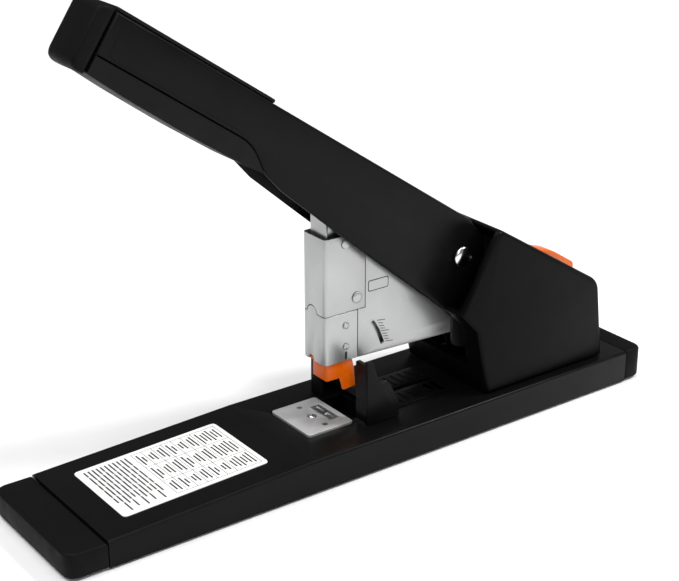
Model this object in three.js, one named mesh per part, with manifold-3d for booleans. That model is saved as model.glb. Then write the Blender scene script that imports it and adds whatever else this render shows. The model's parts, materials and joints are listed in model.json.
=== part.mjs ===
// Heavy-duty desk stapler: base with anvil, rear housing, sprung lever, pivoting magazine.
// Millimetres. +Z is up, -Y is the front (nose and handle end), X is the width.
// The origin is on the table, under the middle of the base.
import * as THREE from "three";
import { mergeVertices } from "three/addons/utils/BufferGeometryUtils.js";
import Module from "manifold-3d";

const wasm = await Module();
wasm.setup();

// Driving dimensions
const GAP = 0.3;
const BASE_LENGTH = 300;
const BASE_WIDTH = 64;
const BASE_BOTTOM = 0.8;
const BASE_TOP = 15.4;
const BASE_TOP_FRONT = 12.2;
const BASE_SLOPE_END = -40;
const FRONT_CAP_LENGTH = 17;
const REAR_CAP_LENGTH = 10.5;
const CAP_TOP_FRONT = 11.6;
const HOUSING_HALF = 28;
const HOUSING_WALL = 2.6;
const LEVER_PIVOT = new THREE.Vector2(51.5, 77.9);
const LEVER_TILT = THREE.MathUtils.degToRad(34.2);
const LEVER_LENGTH = 200;
const LEVER_CAP_LENGTH = 7;
const LEVER_HALF = 14.2;
const LEVER_TIP_HALF = 10.2;
const LEVER_WALL = 1.4;
const LEVER_TOP = 15.6;
const LEVER_REAR_RADIUS = 14;
const ARM_HALF = 10.8;
const ARM_WALL = 1;
const ARM_LENGTH = 86;
const BRACKET_HALF = 9.4;
const BRACKET_WALL = 1;
const PIN_RADIUS = 3;
const PUSH_BAR = new THREE.Vector2(73, 0.6);
const PUSH_BAR_RADIUS = 2;
const MAGAZINE_PIVOT = new THREE.Vector2(112, 36);
const MAGAZINE_PIN_RADIUS = 2;
const NOSE_FRONT = -16.2;
const NOSE_BOTTOM = 41.9;
const NOSE_SPLIT = 64;
const NOSE_TOP = 98;
const MAGAZINE_HALF = 7.8;
const MAGAZINE_WALL = 0.8;
const STAPLE_HALF = 5.6;
const STAPLE_WIRE = 0.6;
const LATCH_HALF = 6.7;
const GUIDE_OUTER = 20.5;
const GUIDE_INNER = 12.2;

// Materials
function material(color, roughness, metalness = 0) {
  return new THREE.MeshStandardMaterial({ color, roughness, metalness });
}
const BLACK_PLASTIC = [0x1b1b1c, 0.45];
const CAP_PLASTIC = [0x121213, 0.6];
const SOFT_GRIP = [0x161617, 0.75];
const PAINTED_STEEL = [0x1e1e20, 0.35, 0.3];
const CHROME = [0xcfd2d4, 0.22, 1];
const STEEL = [0x9a9da0, 0.4, 1];
const ORANGE = [0xf08a1d, 0.4];
const RUBBER = [0x0e0e0e, 0.9];
const PAPER = [0xe9e9e6, 0.8];

// Solids
function toSolid(geometry) {
  const bare = geometry.index ? geometry.toNonIndexed() : geometry.clone();
  bare.deleteAttribute("normal");
  bare.deleteAttribute("uv");
  const merged = mergeVertices(bare, 1e-4);
  const mesh = new wasm.Mesh({
    numProp: 3,
    vertProperties: new Float32Array(merged.attributes.position.array),
    triVerts: new Uint32Array(merged.index.array),
  });
  return new wasm.Manifold(mesh);
}

function toGeometry(solid) {
  const mesh = solid.getMesh();
  const geometry = new THREE.BufferGeometry();
  const positions = new THREE.BufferAttribute(new Float32Array(mesh.vertProperties), 3);
  geometry.setAttribute("position", positions);
  geometry.setIndex(new THREE.BufferAttribute(new Uint32Array(mesh.triVerts), 1));
  return geometry;
}

const join = (first, ...others) => others.reduce((sum, other) => sum.add(other), first);
const cut = (first, ...others) => others.reduce((rest, other) => rest.subtract(other), first);

// Closed outline through corners [x, y, radius]; a corner without a radius is sharp.
function outline(corners) {
  const shape = new THREE.Shape();
  const count = corners.length;
  corners.forEach(([x, y, radius = 0], i) => {
    const corner = new THREE.Vector2(x, y);
    const before = new THREE.Vector2(...corners[(i + count - 1) % count]);
    const after = new THREE.Vector2(...corners[(i + 1) % count]);
    const start = corner.clone().add(before.sub(corner).setLength(radius));
    const end = corner.clone().add(after.sub(corner).setLength(radius));
    if (i === 0) shape.moveTo(start.x, start.y);
    else shape.lineTo(start.x, start.y);
    if (radius > 0) shape.quadraticCurveTo(corner.x, corner.y, end.x, end.y);
  });
  shape.closePath();
  return shape;
}

function extruded(shape, depth, bevel = 0, curveSegments = 6) {
  return new THREE.ExtrudeGeometry(shape, {
    depth: depth - 2 * bevel,
    bevelEnabled: bevel > 0,
    bevelThickness: bevel,
    bevelSize: bevel,
    bevelOffset: -bevel,
    bevelSegments: 3,
    curveSegments,
  }).translate(0, 0, bevel);
}

// Turns an extrusion so that its outline lies in Y and Z and its depth runs along X.
const SIDEWAYS = new THREE.Matrix4().makeBasis(
  new THREE.Vector3(0, 1, 0),
  new THREE.Vector3(0, 0, 1),
  new THREE.Vector3(1, 0, 0),
);

function sideSlab(corners, x0, x1, bevel = 0) {
  const geometry = extruded(outline(corners), x1 - x0, bevel).applyMatrix4(SIDEWAYS);
  return toSolid(geometry.translate(x0, 0, 0));
}

function flatSlab(corners, z0, z1, bevel = 0) {
  return toSolid(extruded(outline(corners), z1 - z0, bevel).translate(0, 0, z0));
}

function box(x0, x1, y0, y1, z0, z1) {
  const geometry = new THREE.BoxGeometry(x1 - x0, y1 - y0, z1 - z0);
  return toSolid(geometry.translate((x0 + x1) / 2, (y0 + y1) / 2, (z0 + z1) / 2));
}

function rodAcross(x0, x1, y, z, radius, sides = 24) {
  const geometry = new THREE.CylinderGeometry(radius, radius, x1 - x0, sides);
  return toSolid(geometry.rotateZ(Math.PI / 2).translate((x0 + x1) / 2, y, z));
}

function rodUpright(x, y, z0, z1, radius, sides = 24) {
  const geometry = new THREE.CylinderGeometry(radius, radius, z1 - z0, sides);
  return toSolid(geometry.rotateX(Math.PI / 2).translate(x, y, (z0 + z1) / 2));
}

// A shallow domed head, its flat face at x = 0 and its dome towards +X.
function domedHead(radius, height, sides = 20) {
  const rings = 4;
  const profile = [new THREE.Vector2(0, 0)];
  for (let i = 0; i <= rings; i++) {
    const angle = (i / rings) * (Math.PI / 2);
    const across = i === rings ? 0 : radius * Math.cos(angle);
    profile.push(new THREE.Vector2(across, height * (0.3 + 0.7 * Math.sin(angle))));
  }
  const geometry = new THREE.LatheGeometry(profile, sides);
  return toSolid(geometry.rotateZ(-Math.PI / 2));
}

// The same outline on both sides of the middle plane.
function pairOfWalls(corners, outer, wall) {
  return [sideSlab(corners, outer - wall, outer), sideSlab(corners, -outer, wall - outer)];
}

function coil(point, turns, stepsPerTurn, wire, sides) {
  const points = [];
  const steps = turns * stepsPerTurn;
  for (let i = 0; i <= steps; i++) points.push(point(i / steps));
  const path = new THREE.CatmullRomCurve3(points);
  const section = new THREE.Shape().absarc(0, 0, wire, 0, 2 * Math.PI);
  const curveSegments = sides / 2;
  const settings = { steps, extrudePath: path, curveSegments, bevelEnabled: false };
  return toSolid(new THREE.ExtrudeGeometry(section, settings));
}

// Assembly
const stapler = new THREE.Group();
const lever = new THREE.Group();
lever.position.set(0, LEVER_PIVOT.x, LEVER_PIVOT.y);
lever.rotation.x = -LEVER_TILT;
stapler.add(lever);

function add(name, solid, finish, group = stapler) {
  const mesh = new THREE.Mesh(toGeometry(solid), material(...finish));
  mesh.name = name;
  group.add(mesh);
}

// Base -------------------------------------------------------------------
const FRONT = -BASE_LENGTH / 2;
const REAR = BASE_LENGTH / 2;
const BODY_FRONT = FRONT + FRONT_CAP_LENGTH + GAP;
const BODY_REAR = REAR - REAR_CAP_LENGTH - GAP;
const ANVIL = { x: 14, front: -29, rear: -6, window: -11, screw: -17.5 };
const PLATE_RECESS_TOP = 4.1;
const LABEL = { x: 21, front: -120, rear: -53.6 };

// A length of the base body whose top runs from one height to another.
function baseLength(y0, y1, top0, top1) {
  const half = BASE_WIDTH / 2;
  const edge = 1.4;
  const section = new THREE.Shape();
  section.moveTo(-half, BASE_BOTTOM);
  section.lineTo(half, BASE_BOTTOM);
  section.lineTo(half, BASE_TOP - edge);
  section.quadraticCurveTo(half, BASE_TOP, half - edge, BASE_TOP);
  section.lineTo(edge - half, BASE_TOP);
  section.quadraticCurveTo(-half, BASE_TOP, -half, BASE_TOP - edge);
  section.closePath();
  const geometry = extruded(section, y1 - y0).rotateX(Math.PI / 2).translate(0, y1, 0);
  const place = geometry.attributes.position;
  for (let i = 0; i < place.count; i++) {
    const share = (place.getY(i) - y0) / (y1 - y0);
    const top = THREE.MathUtils.lerp(top0, top1, share);
    if (place.getZ(i) > BASE_TOP / 2) place.setZ(i, place.getZ(i) - BASE_TOP + top);
  }
  return toSolid(geometry);
}

function makeBaseBody() {
  const rim = 2.6;
  const inner = BASE_WIDTH / 2 - rim;
  const sloped = baseLength(BODY_FRONT, BASE_SLOPE_END + 1, BASE_TOP_FRONT, BASE_TOP);
  const level = baseLength(BASE_SLOPE_END, BODY_REAR, BASE_TOP, BASE_TOP);
  const frontRecess = box(-inner, inner, BODY_FRONT + 5, ANVIL.front - 4, -1, PLATE_RECESS_TOP);
  const rearRecess = box(-inner, inner, 10, BODY_REAR - 5, -1, PLATE_RECESS_TOP);
  const anvilSeat = box(-ANVIL.x - GAP, ANVIL.x + GAP, ANVIL.front - GAP, ANVIL.rear + GAP, 14.9, 20);
  const latchWell = box(-11, 11, ANVIL.rear, 6, 8, 20);
  const scaleSeat = box(-14.3, 14.3, 13.7, 50.3, 14.4, 20);
  return cut(join(sloped, level), frontRecess, rearRecess, anvilSeat, latchWell, scaleSeat);
}

function capCorners(front, rear, frontRadius, rearRadius) {
  const half = BASE_WIDTH / 2;
  return [
    [-half, front, frontRadius],
    [half, front, frontRadius],
    [half, rear, rearRadius],
    [-half, rear, rearRadius],
  ];
}

function makeFeet() {
  const inset = 10;
  [-1, 1].forEach((side) => {
    [FRONT + 32, REAR - 28].forEach((y) => {
      const end = y < 0 ? "front" : "rear";
      const hand = side < 0 ? "left" : "right";
      const x = side * (BASE_WIDTH / 2 - inset);
      add(`rubber_foot_${end}_${hand}`, rodUpright(x, y, 0, 2, 6, 24), RUBBER);
    });
  });
}

function makeBasePlate() {
  const half = BASE_WIDTH / 2 - 3.2;
  const plate = box(-half, half, BODY_FRONT + 6, ANVIL.front - 5, 2.3, 3.8);
  const rearPlate = box(-half, half, 11, BODY_REAR - 6, 2.3, 3.8);
  add("base_weight_plate_front", plate, STEEL);
  add("base_weight_plate_rear", rearPlate, STEEL);
}

function makeAnvil() {
  const plateBottom = 15.2;
  const plateTop = 16.4;
  const corners = [
    [-ANVIL.x, ANVIL.front, 1.5],
    [ANVIL.x, ANVIL.front, 1.5],
    [ANVIL.x, ANVIL.rear, 1.5],
    [-ANVIL.x, ANVIL.rear, 1.5],
  ];
  const window = box(-7.5, 7.5, ANVIL.window - 2.5, ANVIL.window + 2.5, 14, 18);
  const screwHole = rodUpright(0, ANVIL.screw, 14, 18, 2.2);
  add("anvil_plate", cut(flatSlab(corners, plateBottom, plateTop), window, screwHole), CHROME);
  const grooves = [-3.6, 3.6].map((x) => rodAcross(x - 2.6, x + 2.6, ANVIL.window, 17.2, 1.4, 16));
  const insert = box(-7.1, 7.1, ANVIL.window - 2.1, ANVIL.window + 2.1, 15.2, 16.2);
  add("anvil_insert", cut(insert, ...grooves), STEEL);
  const slot = box(-0.3, 0.3, ANVIL.screw - 2, ANVIL.screw + 2, 15.9, 18);
  add("anvil_screw", cut(rodUpright(0, ANVIL.screw, 15.2, 16.2, 1.8), slot), STEEL);
}

function makeScalePlate() {
  const plate = box(-14, 14, 14, 50, 14.7, 15.9);
  const slot = box(-1.2, 1.2, 16, 48, 14, 17);
  const ribs = [];
  const pitch = 4;
  for (let y = 18; y <= 46; y += pitch) {
    ribs.push(box(-12, -3.5, y, y + 0.8, 15.5, 16.3));
    ribs.push(box(3.5, 12, y, y + 0.8, 15.5, 16.3));
  }
  add("depth_scale_plate", join(cut(plate, slot), ...ribs), BLACK_PLASTIC);
}

function makeLabel() {
  const rise = (BASE_TOP - BASE_TOP_FRONT) / (BASE_SLOPE_END - BODY_FRONT);
  const heightAt = (y) => BASE_TOP_FRONT + rise * (y - BODY_FRONT);
  const lift = 0.1;
  const thick = 0.3;
  const corners = [
    [-LABEL.x, LABEL.front, 2],
    [LABEL.x, LABEL.front, 2],
    [LABEL.x, LABEL.rear, 2],
    [-LABEL.x, LABEL.rear, 2],
  ];
  const film = flatSlab(corners, lift, lift + thick).warp((v) => {
    v[2] += heightAt(v[1]);
  });
  add("capacity_label", film, PAPER);
}

// Paper guide: two uprights and the bar that joins them, sliding over the depth scale.
function makePaperGuide() {
  const foot = BASE_TOP + GAP;
  const upright = [
    [-3.5, foot],
    [13.5, foot],
    [13.5, 22, 1],
    [8, 33.5, 1.5],
    [3, 33.5, 1],
    [-0.5, 44.5, 0.6],
    [-3.5, 44.5, 0.6],
  ];
  const bar = box(-GUIDE_OUTER + 1, GUIDE_OUTER - 1, 7, 13, 16.6, 17.9);
  const walls = pairOfWalls(upright, GUIDE_OUTER, 2.2);
  const faces = [-1, 1].map((side) => {
    const inner = side * GUIDE_INNER;
    const outer = side * (GUIDE_OUTER - 1);
    return box(Math.min(inner, outer), Math.max(inner, outer), -3.5, -1.3, 16.6, 43);
  });
  add("paper_guide", join(bar, ...walls, ...faces), BLACK_PLASTIC);
}

// Rear housing -------------------------------------------------------------
function makeHousing() {
  const foot = BASE_TOP + GAP;
  const inner = HOUSING_HALF - HOUSING_WALL;
  const skin = [
    [57, foot],
    [50.5, 46.5],
    [41, 56.5],
    [60.5, 92.3, 4],
    [122.4, 53.8, 4.5],
    [127.4, foot],
  ];
  const hollow = [
    [60, 8],
    [60, 45],
    [54, 49],
    [38, 62],
    [59, 97],
    [60.6, 89.2],
    [119.7, 52.2, 3],
    [124.6, 8],
  ];
  const body = sideSlab(skin, -HOUSING_HALF, HOUSING_HALF, 2.2);
  const magazineSlot = box(-16.5, 16.5, 40, 62, 26.5, 60);
  const tabSlot = box(-8.5, 8.5, 98, 135, 30, 90);
  add("rear_housing", cut(body, sideSlab(hollow, -inner, inner), magazineSlot, tabSlot), BLACK_PLASTIC);
}

function makeBracket() {
  const foot = BASE_TOP + 0.8;
  const [py, pz] = LEVER_PIVOT.toArray();
  const side = [
    [66, foot],
    [118, foot],
    [118, 44, 3],
    [100, 47, 3],
    [py + 9, pz + 1, 3],
    [py + 5, pz + 8, 4],
    [py - 5.5, pz + 8, 4],
    [py - 10, pz + 1, 3],
    [py - 8.5, pz - 9, 3],
    [py, 60.4, 1],
    [py, 34, 3],
    [63, 30, 3],
  ];
  const floor = box(-BRACKET_HALF, BRACKET_HALF, 66, 118, foot, foot + 1.4);
  const walls = pairOfWalls(side, BRACKET_HALF, BRACKET_WALL);
  const leverHole = rodAcross(-20, 20, py, pz, PIN_RADIUS + GAP);
  const magazineHole = rodAcross(-20, 20, ...MAGAZINE_PIVOT.toArray(), MAGAZINE_PIN_RADIUS + GAP);
  add("pivot_bracket", cut(join(floor, ...walls), leverHole, magazineHole), PAINTED_STEEL);
  [72, 98].forEach((y, row) => {
    [-5, 5].forEach((x, column) => {
      const head = rodUpright(x, y, foot + 1.7, foot + 3, 2.2, 16);
      add(`bracket_screw_${2 * row + column + 1}`, head, STEEL);
    });
  });
}

function makeLiftSpring() {
  const radius = 4.5;
  const turns = 5;
  const z0 = 19.3;
  const z1 = 37;
  const point = (t) => {
    const angle = 2 * Math.PI * turns * t;
    return new THREE.Vector3(radius * Math.cos(angle), 84 + radius * Math.sin(angle), z0 + (z1 - z0) * t);
  };
  add("magazine_lift_spring", coil(point, turns, 12, 0.8, 6), STEEL);
}

// Magazine and nose ----------------------------------------------------------
function makeMagazineChannel() {
  const [py, pz] = MAGAZINE_PIVOT.toArray();
  const side = [
    [0.9, NOSE_BOTTOM],
    [100, 38.4, 2],
    [105, pz - 5, 2],
    [py, pz - 7, 3],
    [py + 6.5, pz - 3, 3],
    [py + 6.5, pz + 6, 3],
    [py, 46.3, 2],
    [56, 46.3],
    [51.5, 47.5, 1.5],
    [46, 53, 1.5],
    [4.8, 87.6],
    [4.8, NOSE_SPLIT - GAP],
    [0.9, NOSE_SPLIT - GAP],
  ];
  const floor = [
    [0.9, NOSE_BOTTOM],
    [100, 38.4],
    [100, 39.6],
    [0.9, NOSE_BOTTOM + 1.2],
  ];
  const walls = pairOfWalls(side, MAGAZINE_HALF, MAGAZINE_WALL);
  const pinHole = rodAcross(-20, 20, py, pz, MAGAZINE_PIN_RADIUS + GAP);
  const scaleSlot = [
    [7.6, 56.2, 0.7],
    [9.3, 56.8, 0.7],
    [12.4, 51.8],
    [15, 45.2, 0.7],
    [13.2, 44.4, 0.7],
    [10.6, 50.6],
  ];
  const slot = sideSlab(scaleSlot, 5, 12);
  const body = join(sideSlab(floor, -MAGAZINE_HALF + 0.4, MAGAZINE_HALF - 0.4), ...walls);
  add("magazine_channel", cut(body, pinHole, slot), CHROME);
}

// A sleeve of sheet steel, closed and round-cornered at the front and open at the back.
function sleeve(rear, z0, z1) {
  const wrap = (half, front, radius, back) => [
    [-half, front, radius],
    [half, front, radius],
    [half, back],
    [-half, back],
  ];
  const inner = MAGAZINE_HALF - MAGAZINE_WALL;
  const outside = wrap(MAGAZINE_HALF, NOSE_FRONT, 2, rear);
  const inside = wrap(inner, NOSE_FRONT + MAGAZINE_WALL, 1.3, rear + 1);
  return cut(flatSlab(outside, z0, z1), flatSlab(inside, z0 - 1, z1 + 1));
}

// A disc that faces forward, as thick as the sleeves' front wall.
function frontDisc(x, z, radius, thick = MAGAZINE_WALL) {
  const geometry = new THREE.CylinderGeometry(radius, radius, thick, 32);
  return toSolid(geometry.translate(x, NOSE_FRONT + MAGAZINE_WALL / 2, z));
}

function makeNose() {
  const tongue = { x: -1.2, z: NOSE_SPLIT - 0.6, radius: 3.4 };
  const upperNotch = frontDisc(tongue.x, tongue.z, tongue.radius + GAP, 3);
  const footNotch = frontDisc(-1.9, NOSE_BOTTOM + 0.2, 2, 3);
  const upper = sleeve(4.5, NOSE_SPLIT, NOSE_TOP);
  const lower = sleeve(0.6, NOSE_BOTTOM, NOSE_SPLIT - GAP);
  const tongueDisc = frontDisc(tongue.x, tongue.z, tongue.radius);
  add("nose_upper_sleeve", cut(upper, upperNotch), CHROME);
  add("nose_lower_sleeve", cut(join(lower, tongueDisc), footNotch), CHROME);
  const rivets = [
    [-5.4, 94.4, 2.3],
    [0.3, 69.3, 2.5],
    [-5.4, 58.1, 1.5],
    [-5.3, 48.5, 1.5],
  ];
  rivets.forEach(([y, z, radius], i) => {
    const head = domedHead(radius, 0.8, 16).translate([MAGAZINE_HALF + 0.05, y, z]);
    add(`nose_rivet_right_${i + 1}`, head, CHROME);
  });
}

function makeStapleTrain() {
  const rail = [
    [-12.4, 43.4],
    [48, 43.4],
    [48, 54],
    [-12.4, 54],
  ];
  add("staple_rail", sideSlab(rail, -4.7, 4.7), STEEL);
  const front = -12.4;
  const rear = 39.5;
  const crown = 55;
  const legs = box(-STAPLE_HALF, STAPLE_HALF, front, rear, 43.4, crown);
  const inner = STAPLE_HALF - STAPLE_WIRE;
  const core = box(-inner, inner, front - 1, rear + 1, 40, crown - 0.7);
  add("staple_stick", cut(legs, core), STEEL);
}

function makePusher() {
  const block = box(-6, 6, 40, 48.5, 43.9, 58.5);
  const overRail = box(-5.1, 5.1, 39, 50, 40, 54.4);
  add("staple_pusher", cut(block, overRail), PAINTED_STEEL);
  const rod = [
    [48.9, 48],
    [118, 48],
    [129, 49.8, 1],
    [129, 54, 1.5],
    [115.5, 62.6, 2],
    [106, 65.5, 1],
    [103.5, 53],
    [48.9, 53],
  ];
  add("pusher_pull_tab", sideSlab(rod, -4.5, 4.5), ORANGE);
}

function makeLatch() {
  const side = [
    [-15, 34.2, 0.6],
    [-7.6, 34.1],
    [-6, 28, 0.6],
    [0.4, 28.5, 0.6],
    [-0.5, 37.7],
    [-2.5, 46],
    [-15, 46],
  ];
  const plan = [
    [-LATCH_HALF, -15, 1.8],
    [LATCH_HALF, -15, 1.8],
    [LATCH_HALF, 2],
    [-LATCH_HALF, 2],
  ];
  const block = sideSlab(side, -LATCH_HALF, LATCH_HALF).intersect(flatSlab(plan, 20, 50));
  const farCorner = box(-20, -2.5, -20, -8, 20, NOSE_BOTTOM - 0.5);
  add("jam_release_latch", cut(block, box(-5.9, 5.9, -14.1, 5, 20, 50), farCorner), ORANGE);
}

function makeDriver() {
  const blade = box(-5.4, 5.4, -13.8, -12.8, 59.5, 108);
  add("driver_blade", blade, CHROME);
  add("driver_carrier", box(-5, 5, -12.5, -7.5, 97, 112), STEEL);
}

// Lever, drawn level with its pivot at the origin and its tip towards -Y ------
const along = (corners) => corners.map(([s, n, radius]) => [-s, n, radius]);

function taper(solid) {
  return solid.warp((v) => {
    const part = THREE.MathUtils.clamp(-v[1] / LEVER_LENGTH, -0.1, 1.05);
    v[0] *= THREE.MathUtils.lerp(1, LEVER_TIP_HALF / LEVER_HALF, part);
  });
}

function arcCorners(radius, from, to, count) {
  const corners = [];
  for (let i = 0; i <= count; i++) {
    const angle = THREE.MathUtils.lerp(from, to, i / count);
    corners.push([-radius * Math.cos(angle), radius * Math.sin(angle)]);
  }
  return corners;
}

function makeLeverShell() {
  const rearArc = arcCorners(LEVER_REAR_RADIUS, 0, Math.PI / 2, 6);
  const side = [
    ...rearArc,
    [5, LEVER_TOP],
    [LEVER_LENGTH, LEVER_TOP],
    [LEVER_LENGTH, -1],
    [124, -1.6, 6],
    [112.3, -9.5],
    [101, -12.4],
    [76, -15.4],
    [49, -18.5],
    [20, -21.5],
    [-13.6, -24.9, 4],
  ];
  const hollow = [
    [-30, -40],
    [-30, LEVER_TOP - LEVER_WALL - 1.2],
    [0, LEVER_TOP - LEVER_WALL - 1.2],
    [6, LEVER_TOP - LEVER_WALL],
    [LEVER_LENGTH - 2, LEVER_TOP - LEVER_WALL],
    [LEVER_LENGTH - 2, -40],
  ];
  const inner = LEVER_HALF - LEVER_WALL;
  const body = sideSlab(along(side), -LEVER_HALF, LEVER_HALF, 1.4);
  const shell = cut(body, sideSlab(along(hollow), -inner, inner));
  add("lever_shell", cut(taper(shell), rodAcross(-30, 30, 0, 0, PIN_RADIUS + GAP)), BLACK_PLASTIC, lever);
}

function makeLeverTrim() {
  const grip = [
    [112.9, -9.4, 0.6],
    [124.2, -1.9, 6],
    [LEVER_LENGTH - 0.3, -1.4],
    [LEVER_LENGTH - 0.3, -8.4, 1],
    [180, -9.6, 8],
    [150, -10.4, 8],
    [122, -10.2, 2],
  ];
  add("lever_grip", taper(sideSlab(along(grip), -LEVER_HALF, LEVER_HALF)), SOFT_GRIP, lever);
  const padHalf = LEVER_HALF - 2;
  const pad = [
    [-padHalf, -LEVER_LENGTH, 2],
    [padHalf, -LEVER_LENGTH, 2],
    [padHalf, -121, 4],
    [-padHalf, -121, 4],
  ];
  const padSolid = flatSlab(pad, LEVER_TOP + GAP, LEVER_TOP + 1.7, 0.4);
  add("lever_top_pad", taper(padSolid), SOFT_GRIP, lever);
  const cap = [
    [LEVER_LENGTH + GAP, -9.2],
    [LEVER_LENGTH + GAP, 16.2],
    [LEVER_LENGTH + LEVER_CAP_LENGTH, 16.2, 3.8],
    [LEVER_LENGTH + LEVER_CAP_LENGTH, -9.2, 4.4],
  ];
  const half = LEVER_TIP_HALF;
  add("lever_end_cap", sideSlab(along(cap), -half, half, 2), CAP_PLASTIC, lever);
}

function makeLeverArm() {
  const side = [
    [-10, 0, 3],
    [-6, 9, 3],
    [2, 12.8],
    [ARM_LENGTH, 12.8],
    [ARM_LENGTH, -9, 3],
    [76, -12.5],
    [20, -18, 4],
    [-6, -14, 4],
  ];
  const top = [
    [2, 12],
    [ARM_LENGTH, 12],
    [ARM_LENGTH, 12.8],
    [2, 12.8],
  ];
  const walls = pairOfWalls(along(side), ARM_HALF, ARM_WALL);
  const body = join(sideSlab(along(top), -ARM_HALF, ARM_HALF), ...walls);
  const pinHole = rodAcross(-20, 20, 0, 0, PIN_RADIUS + GAP);
  const barHole = rodAcross(-20, 20, -PUSH_BAR.x, PUSH_BAR.y, PUSH_BAR_RADIUS + GAP);
  add("lever_steel_arm", cut(body, pinHole, barHole), STEEL, lever);
  const bar = rodAcross(-ARM_HALF, ARM_HALF, -PUSH_BAR.x, PUSH_BAR.y, PUSH_BAR_RADIUS);
  add("lever_push_bar", bar, STEEL, lever);
}

function makeLeverPin() {
  const face = LEVER_HALF + GAP;
  const head = domedHead(4.6, 2, 28).translate([face, 0, 0]);
  add("lever_pivot_pin", join(rodAcross(-face - 2, face + 0.2, 0, 0, PIN_RADIUS), head), CHROME, lever);
  const ring = rodAcross(-face - 1.4, -face, 0, 0, 5);
  add("lever_pin_clip", cut(ring, rodAcross(-30, 30, 0, 0, PIN_RADIUS + 0.15)), STEEL, lever);
}

function makeLeverSpring() {
  const radius = 5.2;
  const turns = 5;
  const half = 6.8;
  const point = (t) => {
    const angle = 2 * Math.PI * turns * t;
    return new THREE.Vector3(half - 2 * half * t, radius * Math.cos(angle), radius * Math.sin(angle));
  };
  add("lever_torsion_spring", coil(point, turns, 12, 0.8, 6), STEEL, lever);
}

add("base_body", makeBaseBody(), BLACK_PLASTIC);
const frontCap = capCorners(FRONT, FRONT + FRONT_CAP_LENGTH, 6, 0);
const rearCap = capCorners(REAR - REAR_CAP_LENGTH, REAR, 0, 5);
add("base_front_cap", flatSlab(frontCap, BASE_BOTTOM, CAP_TOP_FRONT, 1.2), CAP_PLASTIC);
add("base_rear_cap", flatSlab(rearCap, BASE_BOTTOM, BASE_TOP + 0.2, 1.2), CAP_PLASTIC);
makeFeet();
makeBasePlate();
makeAnvil();
makeScalePlate();
makeLabel();
makePaperGuide();
makeHousing();
makeBracket();
const magazinePin = rodAcross(-12, 12, ...MAGAZINE_PIVOT.toArray(), MAGAZINE_PIN_RADIUS);
add("magazine_pivot_pin", magazinePin, STEEL);
makeLiftSpring();
makeMagazineChannel();
makeNose();
makeStapleTrain();
makePusher();
makeLatch();
makeDriver();
makeLeverShell();
makeLeverTrim();
makeLeverArm();
makeLeverPin();
makeLeverSpring();

export default stapler;
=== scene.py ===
# Looks of the heavy-duty stapler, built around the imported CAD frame. Metres, +Z up.
# Edge roundings and the small details are written in millimetres and scaled by MM.
import json
import math

import bmesh
import bpy
from mathutils import Matrix, Vector


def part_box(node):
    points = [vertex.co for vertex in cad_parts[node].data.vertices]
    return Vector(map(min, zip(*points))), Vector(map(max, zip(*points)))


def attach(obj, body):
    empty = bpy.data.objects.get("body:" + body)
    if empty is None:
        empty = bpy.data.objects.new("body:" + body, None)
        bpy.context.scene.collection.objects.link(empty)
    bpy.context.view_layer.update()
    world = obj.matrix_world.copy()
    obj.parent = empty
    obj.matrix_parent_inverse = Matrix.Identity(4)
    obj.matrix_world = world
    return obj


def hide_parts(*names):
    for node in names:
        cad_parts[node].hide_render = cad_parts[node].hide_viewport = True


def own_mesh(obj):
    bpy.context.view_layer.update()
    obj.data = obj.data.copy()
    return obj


MM = 0.001
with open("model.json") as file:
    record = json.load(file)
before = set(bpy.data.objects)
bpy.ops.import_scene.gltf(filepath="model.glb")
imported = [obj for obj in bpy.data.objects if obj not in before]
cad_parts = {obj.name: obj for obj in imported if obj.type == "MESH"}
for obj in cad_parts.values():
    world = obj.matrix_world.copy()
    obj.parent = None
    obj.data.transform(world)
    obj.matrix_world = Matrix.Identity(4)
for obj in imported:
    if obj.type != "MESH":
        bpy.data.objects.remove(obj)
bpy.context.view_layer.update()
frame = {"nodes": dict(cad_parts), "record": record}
NODES = frame["nodes"]
BODY_OF = {
    node: body
    for body, members in frame["record"]["behaviour"]["bodies"].items()
    for node in members
}
SLOT_OF = {row["node"]: row["material_slot"] for row in frame["record"]["subparts"]}

# Finishes that share a slot of the record, and nodes that use such a finish.
FINISH_OF = {
    "anvil_plate": "satin_plate",
    "rear_housing": "housing_plastic",
    "lever_pivot_pin": "bright_plate",
}


# ---------------------------------------------------------------- materials
# Noise between these two values covers the whole of a colour or gloss range.
NOISE_LOW, NOISE_HIGH = 0.35, 0.65


def new_material(name):
    material = bpy.data.materials.new(name)
    material.use_nodes = True
    tree = material.node_tree
    return material, tree, tree.nodes["Principled BSDF"]


def noise(tree, scale, detail):
    """Noise in the object's own coordinates; scale is in features per metre."""
    place = tree.nodes.new("ShaderNodeTexCoord")
    texture = tree.nodes.new("ShaderNodeTexNoise")
    texture.inputs["Scale"].default_value = scale
    texture.inputs["Detail"].default_value = detail
    tree.links.new(place.outputs["Object"], texture.inputs["Vector"])
    return texture.outputs["Fac"]


def remap(tree, value, low, high):
    ramp = tree.nodes.new("ShaderNodeMapRange")
    ramp.inputs["From Min"].default_value = NOISE_LOW
    ramp.inputs["From Max"].default_value = NOISE_HIGH
    ramp.inputs["To Min"].default_value = low
    ramp.inputs["To Max"].default_value = high
    tree.links.new(value, ramp.inputs["Value"])
    return ramp.outputs["Result"]


def colour_variation(tree, value, dark, light):
    ramp = tree.nodes.new("ShaderNodeValToRGB")
    ends = ramp.color_ramp.elements
    for end, position, colour in ((ends[0], NOISE_LOW, dark), (ends[1], NOISE_HIGH, light)):
        end.position = position
        end.color = (*colour, 1)
    tree.links.new(value, ramp.inputs["Fac"])
    return ramp.outputs["Color"]


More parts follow.
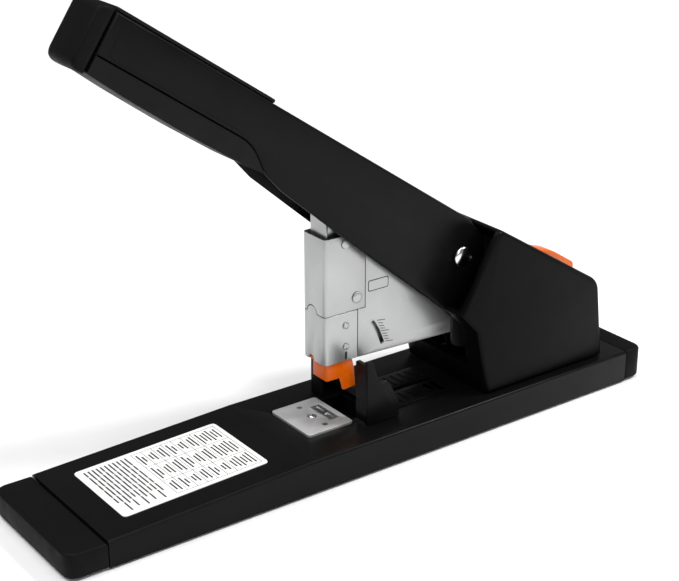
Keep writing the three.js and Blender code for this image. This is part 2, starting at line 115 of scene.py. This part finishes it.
def bump(tree, shader, height, strength, distance):
    node = tree.nodes.new("ShaderNodeBump")
    node.inputs["Strength"].default_value = strength
    node.inputs["Distance"].default_value = distance
    tree.links.new(height, node.inputs["Height"])
    tree.links.new(node.outputs["Normal"], shader.inputs["Normal"])


def moulded(name, dark, light, rough, grain, depth, specular=0.5, coat=0.0):
    """Moulded plastic, rubber or paper: slow colour change, uneven gloss and a fine grain."""
    clouds_per_metre, gloss_per_metre, grain_strength = 35, 120, 0.35
    material, tree, shader = new_material(name)
    clouds = noise(tree, clouds_per_metre, 3)
    tree.links.new(colour_variation(tree, clouds, dark, light), shader.inputs["Base Color"])
    gloss = noise(tree, gloss_per_metre, 4)
    tree.links.new(remap(tree, gloss, *rough), shader.inputs["Roughness"])
    bump(tree, shader, noise(tree, grain, 2), grain_strength, depth)
    shader.inputs["Specular IOR Level"].default_value = specular
    shader.inputs["Coat Weight"].default_value = coat
    shader.inputs["Coat Roughness"].default_value = 0.25
    return material


def metal(name, dark, light, rough, grain, depth, metallic=1.0):
    """Satin plate or plain metal: a fine even grain and faint clouding."""
    clouds_per_metre, grain_strength = 60, 0.1
    material, tree, shader = new_material(name)
    clouds = noise(tree, clouds_per_metre, 3)
    tree.links.new(colour_variation(tree, clouds, dark, light), shader.inputs["Base Color"])
    fine = noise(tree, grain, 3)
    tree.links.new(remap(tree, fine, *rough), shader.inputs["Roughness"])
    bump(tree, shader, fine, grain_strength, depth)
    shader.inputs["Metallic"].default_value = metallic
    return material


# Dark and light colour, roughness range, grain per metre and its depth in metres.
MATERIALS = {
    "black_plastic": moulded(
        "black_plastic", (0.0030, 0.0030, 0.0031), (0.0038, 0.0038, 0.0039),
        (0.30, 0.38), 2600, 0.00003, specular=0.1,
    ),
    "housing_plastic": moulded(
        "housing_plastic", (0.0018, 0.0018, 0.0019), (0.0024, 0.0024, 0.0025),
        (0.32, 0.40), 2600, 0.00003, specular=0.06,
    ),
    "cap_plastic": moulded(
        "cap_plastic", (0.0025, 0.0025, 0.0026), (0.0035, 0.0035, 0.0036),
        (0.50, 0.62), 2200, 0.00006, specular=0.08,
    ),
    "soft_grip": moulded(
        "soft_grip", (0.0030, 0.0030, 0.0031), (0.0042, 0.0042, 0.0043),
        (0.5, 0.62), 3200, 0.00006, specular=0.14,
    ),
    "painted_steel": moulded(
        "painted_steel", (0.012, 0.012, 0.0125), (0.018, 0.018, 0.019),
        (0.28, 0.4), 1500, 0.00003, specular=0.3,
    ),
    "chrome": metal(
        "chrome", (0.43, 0.432, 0.434), (0.46, 0.462, 0.464),
        (0.32, 0.37), 1400, 0.000001, metallic=0.8,
    ),
    "bright_plate": metal(
        "bright_plate", (0.80, 0.80, 0.80), (0.84, 0.84, 0.84),
        (0.14, 0.2), 1400, 0.000001,
    ),
    "satin_plate": metal(
        "satin_plate", (0.60, 0.602, 0.604), (0.64, 0.642, 0.644),
        (0.48, 0.52), 1400, 0.000002, metallic=0.7,
    ),
    "steel": metal(
        "steel", (0.36, 0.37, 0.38), (0.44, 0.45, 0.46),
        (0.3, 0.42), 1500, 0.00001,
    ),
    "orange_plastic": moulded(
        "orange_plastic", (0.66, 0.105, 0.001), (0.72, 0.125, 0.0015),
        (0.26, 0.36), 1800, 0.00002, specular=0.3, coat=0.1,
    ),
    "rubber": moulded(
        "rubber", (0.008, 0.008, 0.008), (0.014, 0.014, 0.014),
        (0.7, 0.85), 2500, 0.0001, specular=0.2,
    ),
    "paper_label": moulded(
        "paper_label", (0.82, 0.82, 0.81), (0.86, 0.86, 0.85),
        (0.4, 0.5), 3500, 0.00002, specular=0.3,
    ),
    "print": moulded(
        "print", (0.02, 0.02, 0.02), (0.035, 0.035, 0.035),
        (0.5, 0.6), 3000, 0.00001, specular=0.2,
    ),
    "floor": moulded(
        "floor", (0.86, 0.86, 0.86), (0.88, 0.88, 0.88),
        (0.6, 0.7), 40, 0.00001,
    ),
}


# ---------------------------------------------------------------- mesh helpers
WELD_DISTANCE = 0.005 * MM
FLAT_ANGLE = math.radians(0.5)
BEVEL_ANGLE = math.radians(30)
BEVEL_SEGMENTS = 3


def shade(mesh, angle=32):
    """Smooth shading, with the edges sharper than the angle kept crisp."""
    work = bmesh.new()
    work.from_mesh(mesh)
    limit = math.radians(angle)
    for face in work.faces:
        face.smooth = True
    for edge in work.edges:
        edge.smooth = edge.is_manifold and edge.calc_face_angle(0) < limit
    work.to_mesh(mesh)
    work.free()


def place_piece(name, mesh, body, finish):
    piece = bpy.data.objects.new(name, mesh)
    bpy.context.scene.collection.objects.link(piece)
    mesh.materials.clear()
    mesh.materials.append(MATERIALS[finish])
    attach(piece, body)
    return piece


def new_piece(name, work, body, finish):
    """Turns a finished bmesh into a shaded piece that rides on a body."""
    bmesh.ops.recalc_face_normals(work, faces=work.faces)
    mesh = bpy.data.meshes.new(name)
    work.to_mesh(mesh)
    work.free()
    shade(mesh)
    return place_piece(name, mesh, body, finish)


def apply_modifiers(piece):
    graph = bpy.context.evaluated_depsgraph_get()
    graph.update()
    mesh = bpy.data.meshes.new_from_object(piece.evaluated_get(graph))
    piece.modifiers.clear()
    old = piece.data
    piece.data = mesh
    bpy.data.meshes.remove(old)
    return mesh


def clean_copy(node):
    """The CAD node's mesh with shared corners and whole flat faces."""
    work = bmesh.new()
    work.from_mesh(NODES[node].data)
    bmesh.ops.remove_doubles(work, verts=work.verts, dist=WELD_DISTANCE)
    bmesh.ops.dissolve_degenerate(work, edges=work.edges, dist=WELD_DISTANCE)
    bmesh.ops.dissolve_limit(
        work, angle_limit=FLAT_ANGLE, verts=work.verts, edges=work.edges
    )
    mesh = bpy.data.meshes.new(node + "_fine")
    work.to_mesh(mesh)
    work.free()
    return mesh


def refine(node, width):
    """A finer piece for a CAD node: the same solid, its hard edges rounded by width millimetres."""
    finish = FINISH_OF.get(node, SLOT_OF[node])
    piece = place_piece(node + "_fine", clean_copy(node), BODY_OF[node], finish)
    bevel = piece.modifiers.new("edges", "BEVEL")
    bevel.limit_method = "ANGLE"
    bevel.angle_limit = BEVEL_ANGLE
    bevel.width = width * MM
    bevel.segments = BEVEL_SEGMENTS
    bevel.use_clamp_overlap = True
    bevel.miter_outer = "MITER_ARC"
    shade(apply_modifiers(piece))
    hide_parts(node)


def node_box(node):
    """The node's lowest and highest corner, in millimetres."""
    low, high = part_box(node)
    return Vector(low) / MM, Vector(high) / MM


# ---------------------------------------------------------------- pieces
EDGE_ROUNDING_MM = {
    "base_body": 0.5,
    "base_front_cap": 0.3,
    "base_rear_cap": 0.3,
    "rubber_foot_front_left": 0.4,
    "rubber_foot_front_right": 0.4,
    "rubber_foot_rear_left": 0.4,
    "rubber_foot_rear_right": 0.4,
    "base_weight_plate_front": 0.3,
    "base_weight_plate_rear": 0.3,
    "anvil_plate": 0.25,
    "anvil_insert": 0.12,
    "anvil_screw": 0.15,
    "depth_scale_plate": 0.15,
    "rear_housing": 0.5,
    "pivot_bracket": 0.2,
    "paper_guide": 0.5,
    "lever_shell": 0.5,
    "lever_grip": 0.9,
    "lever_top_pad": 0.3,
    "lever_end_cap": 0.3,
    "lever_steel_arm": 0.2,
    "lever_pivot_pin": 0.2,
    "lever_pin_clip": 0.2,
    "magazine_channel": 0.15,
    "nose_upper_sleeve": 0.15,
    "nose_lower_sleeve": 0.15,
    "staple_rail": 0.2,
    "staple_stick": 0.12,
    "staple_pusher": 0.3,
    "pusher_pull_tab": 0.9,
    "jam_release_latch": 0.25,
    "driver_blade": 0.15,
    "driver_carrier": 0.2,
    "lever_push_bar": 0.2,
}
LIFT_SPRING = "magazine_lift_spring"

for node_name, rounding in EDGE_ROUNDING_MM.items():
    refine(node_name, rounding)
for node_name, node_object in NODES.items():
    if node_name not in EDGE_ROUNDING_MM and node_name != LIFT_SPRING:
        node_object.data.materials.clear()
        node_object.data.materials.append(MATERIALS[SLOT_OF[node_name]])


# ---------------------------------------------------------------- outlines
def rounded(u0, u1, v0, v1, radius, steps=4):
    """The outline of a rectangle with round corners."""
    points = []
    for u, v, start in (
        (u1 - radius, v1 - radius, 0),
        (u0 + radius, v1 - radius, 90),
        (u0 + radius, v0 + radius, 180),
        (u1 - radius, v0 + radius, 270),
    ):
        for step in range(steps + 1):
            angle = math.radians(start + 90 * step / steps)
            points.append((u + radius * math.cos(angle), v + radius * math.sin(angle)))
    return points


def circle(u, v, radius, steps=32):
    turn = 2 * math.pi / steps
    return [
        (u + radius * math.cos(turn * i), v + radius * math.sin(turn * i)) for i in range(steps)
    ]


def line(u0, v0, u1, v1, width):
    """A thin straight stroke from one point to another."""
    side = Vector((v0 - v1, u1 - u0)).normalized() * width / 2
    return [
        (u0 - side.x, v0 - side.y),
        (u1 - side.x, v1 - side.y),
        (u1 + side.x, v1 + side.y),
        (u0 + side.x, v0 + side.y),
    ]


def prisms(name, outlines, low, high, to_world, body, finish):
    """One piece made of a closed prism for each outline, from low to high along the third axis."""
    work = bmesh.new()
    for points in outlines:
        rings = [
            [work.verts.new(to_world(u, v, w) * MM) for u, v in points] for w in (low, high)
        ]
        work.faces.new(rings[0])
        work.faces.new(rings[1])
        for i in range(len(points)):
            j = (i + 1) % len(points)
            work.faces.new((rings[0][i], rings[0][j], rings[1][j], rings[1][i]))
    return new_piece(name, work, body, finish)


def dome(name, centre, radius, height, body, finish, rings=6, sides=32):
    """A shallow upright domed head with a flat underside."""
    work = bmesh.new()
    levels = []
    for ring in range(rings):
        angle = math.pi / 2 * ring / rings
        across, up = radius * math.cos(angle), height * math.sin(angle)
        outline = circle(0, 0, across, sides)
        levels.append([work.verts.new((centre + Vector((u, v, up))) * MM) for u, v in outline])
    top = work.verts.new((centre + Vector((0, 0, height))) * MM)
    work.faces.new(levels[0])
    for below, above in zip(levels, levels[1:]):
        for i in range(sides):
            j = (i + 1) % sides
            work.faces.new((below[i], below[j], above[j], above[i]))
    for i in range(sides):
        work.faces.new((levels[-1][i], levels[-1][(i + 1) % sides], top))
    return new_piece(name, work, body, finish)


# ---------------------------------------------------------------- small details
LEVER_PIVOT = Vector((0, 51.5, 77.9))
LEVER_TILT = math.radians(34.2)
LEVER_LENGTH = 200
LEVER_HALF = 14.2
LEVER_TIP_HALF = 10.2
TAPER_END = 1.05
SUNK = 0.1  # how far a mark reaches into the surface it sits on
RULE_WIDTH = 0.22
BAR_WIDTH = 0.75
HEADER_BAR_WIDTH = 0.7
GUIDE_SCREW = Vector((1, 9, 17.9))


def on_top(x, y, z):
    return Vector((x, y, z))


def on_side(y, z, x):
    return Vector((x, y, z))


def on_lever(s, n, x):
    """A point of the tapered lever: s along it from the pivot, n up from its axis, x across."""
    spread = 1 + (LEVER_TIP_HALF / LEVER_HALF - 1) * min(s / LEVER_LENGTH, TAPER_END)
    cos, sin = math.cos(LEVER_TILT), math.sin(LEVER_TILT)
    return LEVER_PIVOT + Vector((x * spread, n * sin - s * cos, s * sin + n * cos))


def make_lift_spring():
    """The coil under the magazine, which the magazine tilts down onto; the piece is a fixed copy of
    the CAD coil.
    """
    mesh = NODES[LIFT_SPRING].data.copy()
    piece = place_piece(LIFT_SPRING + "_fine", mesh, BODY_OF[LIFT_SPRING], SLOT_OF[LIFT_SPRING])
    shade(piece.data, 50)
    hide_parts(LIFT_SPRING)
    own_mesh(piece)


def make_label_print():
    """A plain ruled table and rows of bars, with no lettering."""
    low, high = node_box("capacity_label")
    film = 0.3
    slope = (high.z - low.z - film) / (high.y - low.y)
    columns = (low.x + 2.2, low.x + 14.5, low.x + 28, high.x - 2.2)
    cells = list(zip(columns, columns[1:]))
    table_front, header_front, table_rear = low.y + 25, high.y - 13.5, high.y - 2
    rows = 6
    pitch = (header_front - table_front) / rows

    def on_film(x, y, lift):
        return Vector((x, y, low.z + film + slope * (y - low.y) + lift))

    strokes = []
    for x in columns:
        strokes.append(line(x, table_front, x, table_rear, RULE_WIDTH))
    for row in range(rows + 1):
        y = table_front + row * pitch
        strokes.append(line(columns[0], y, columns[-1], y, RULE_WIDTH))
    strokes.append(line(columns[0], table_rear, columns[-1], table_rear, RULE_WIDTH))
    for row in range(rows):
        for left, right in cells:
            for part in (0.33, 0.67):
                y = table_front + (row + part) * pitch
                inset = 1.6 + 1.1 * ((row * 5 + int(left) + int(part * 3)) % 3)
                strokes.append(line(left + inset, y, right - inset, y, BAR_WIDTH))
    for column, (left, right) in enumerate(cells):
        for row in range(6):
            y = header_front + 1.6 + row * 1.65
            inset = 1.2 + 0.9 * ((row * 2 + column) % 3)
            strokes.append(line(left + inset, y, right - inset, y, HEADER_BAR_WIDTH))
    for row in range(11):
        y = low.y + 3.4 + row * 1.85
        start = low.x + 2.6
        for word in range(5):
            length = 4.2 + 1.3 * ((row * 3 + word * 2) % 4)
            end = min(start + length, high.x - 2.6)
            if end - start > 1:
                strokes.append(line(start, y, end, y, BAR_WIDTH))
            start = end + 0.7
    prisms("capacity_label_print", strokes, -0.05, 0.03, on_film, "base", "print")


def magazine_mark(name, outlines, face, lift, finish="painted_steel"):
    """A mark on the magazine's right side, standing lift millimetres out of the face."""
    prisms(name, outlines, face - SUNK, face + lift, on_side, "magazine", finish)


def make_magazine_marks():
    """Depth ticks beside the curved slot, a raised panel with a dark band of painted shade round
    its edge, and a dark patch of painted shade where the nose's foot has a small slot.
    """
    channel_face = node_box("magazine_channel")[1].x
    nose_face = node_box("nose_lower_sleeve")[1].x
    count = 9
    ticks = []
    for i in range(count):
        part = i / (count - 1)
        y = 11 + 4.4 * part
        z = 56.2 - 10.8 * part
        length = 4.2 if i % 4 == 0 else 2.6
        ticks.append(line(y, z, y + length, z - 0.6, 0.3))
    # Painted shade: a dark band round the raised panel stands in for the shade in the crease at its
    # edge.
    edge = rounded(6.0, 16.8, 70.3, 75.3, 0.9)
    panel = rounded(6.4, 16.4, 70.7, 74.9, 0.6)
    # Painted shade: a dark patch stands in for the shade inside the small slot at the nose's foot;
    # no slot is cut.
    foot = rounded(-5.9, -4.7, 42.6, 46.2, 0.59)
    magazine_mark("magazine_depth_ticks", ticks, channel_face, 0.03)
    magazine_mark("magazine_panel_edge_shade", [edge], channel_face, 0.02)
    magazine_mark("magazine_raised_panel", [panel], channel_face, 0.08, "chrome")
    magazine_mark("nose_slot_painted_shade", [foot], nose_face, 0.02)


def make_screws_and_dimple_shades():
    """Two darker discs of painted shade where the anvil plate is dimpled, a screw head on the anvil
    plate, and a screw head on the guide's bar.
    """
    top = node_box("anvil_plate")[1].z
    # Painted shade: darker steel discs stand in for the shade in the anvil plate's two dimples,
    # which are not cut.
    dimple_shade_discs = [circle(side * 9.4, -17.5, 1.2) for side in (-1, 1)]
    prisms("anvil_dimple_shades", dimple_shade_discs, top - SUNK, top + 0.04, on_top, "base", "steel")
    low, high = node_box("anvil_screw")
    middle = (low + high) / 2
    centre = Vector((middle.x, middle.y, high.z))
    dome("anvil_screw_head", centre, 1.5, 0.7, "base", "bright_plate")
    dome("guide_bar_screw", GUIDE_SCREW, 1.4, 0.6, "guide", "bright_plate")


def make_lever_marks():
    """The joint behind the end cap, on both sides of the lever, with a round lower corner."""
    joint_s, joint_foot, joint_top, joint_inner_end = 195.4, 0.2, 14.2, 130
    corner_radius = 2.5
    steps = 5
    corner = []
    for step in range(steps + 1):
        angle = math.radians(90 * step / steps)
        across = joint_s - corner_radius * (1 - math.cos(angle))
        corner.append((across, joint_foot + corner_radius * (1 - math.sin(angle))))
    joint = [line(joint_s, joint_foot + corner_radius, joint_s, joint_top, 0.4)]
    joint += [line(*start, *end, 0.4) for start, end in zip(corner, corner[1:])]
    joint.append(line(joint_s - corner_radius, joint_foot, joint_inner_end, joint_foot, 0.3))
    for hand, side in (("right", 1), ("left", -1)):
        low, high = sorted((side * (LEVER_HALF - SUNK), side * (LEVER_HALF + 0.03)))
        prisms("lever_joint_" + hand, joint, low, high, on_lever, "lever", "cap_plastic")


make_lift_spring()
make_label_print()
make_magazine_marks()
make_screws_and_dimple_shades()
make_lever_marks()


# ---------------------------------------------------------------- stage
FLOOR_HALF = 3
FLOOR_DROP = 0.0002
LIT_POINT = Vector((0, 0, 0.08))


def make_floor():
    work = bmesh.new()
    bmesh.ops.create_grid(work, x_segments=1, y_segments=1, size=FLOOR_HALF)
    mesh = bpy.data.meshes.new("floor")
    work.to_mesh(mesh)
    work.free()
    floor = bpy.data.objects.new("floor", mesh)
    bpy.context.scene.collection.objects.link(floor)
    floor.location.z = -FLOOR_DROP
    mesh.materials.append(MATERIALS["floor"])


def add_light(name, place, size, power):
    """A round area light aimed at the middle of the stapler."""
    data = bpy.data.lights.new(name, "AREA")
    data.energy = power
    data.shape = "DISK"
    data.size = size
    light = bpy.data.objects.new(name, data)
    bpy.context.scene.collection.objects.link(light)
    light.location = place
    light.rotation_euler = (LIT_POINT - Vector(place)).to_track_quat("-Z", "Y").to_euler()


def make_lights():
    add_light("key", (-0.3, -0.9, 1.3), 0.8, 4)
    add_light("edge", (0.65, 0.92, 1.25), 0.3, 18)
    add_light("side", (1.4, -0.3, 0.7), 0.7, 5)
    sky = bpy.data.lights.new("overhead", "SUN")
    sky.energy = 2.2
    sky.angle = math.radians(60)
    overhead = bpy.data.objects.new("overhead", sky)
    overhead.rotation_euler = (math.radians(12), 0, 0)
    bpy.context.scene.collection.objects.link(overhead)
    world = bpy.data.worlds.new("studio")
    world.use_nodes = True
    background = world.node_tree.nodes["Background"]
    background.inputs["Color"].default_value = (1, 1, 1, 1)
    background.inputs["Strength"].default_value = 0.22
    bpy.context.scene.world = world


def make_camera():
    """Seen from the right of the handle end, a little above, at a distance of about 0.66 m."""
    azimuth = math.radians(53.717)
    elevation = math.radians(22.603)
    distance = 0.6606
    target = Vector((0, 0, 0.05))
    shift_right, shift_up = -0.0024, 0.01836
    back = Vector(
        (
            math.sin(azimuth) * math.cos(elevation),
            -math.cos(azimuth) * math.cos(elevation),
            math.sin(elevation),
        )
    )
    right = Vector((0, 0, 1)).cross(back).normalized()
    up = back.cross(right)
    data = bpy.data.cameras.new("camera")
    data.lens = 82.71
    data.sensor_width = 36.0
    data.clip_start = 0.01
    camera = bpy.data.objects.new("camera", data)
    bpy.context.scene.collection.objects.link(camera)
    camera.location = target + back * distance + right * shift_right + up * shift_up
    camera.rotation_euler = Matrix((right, up, back)).transposed().to_euler()
    bpy.context.scene.camera = camera


make_floor()
make_lights()
make_camera()
bpy.context.scene.view_settings.view_transform = "Standard"
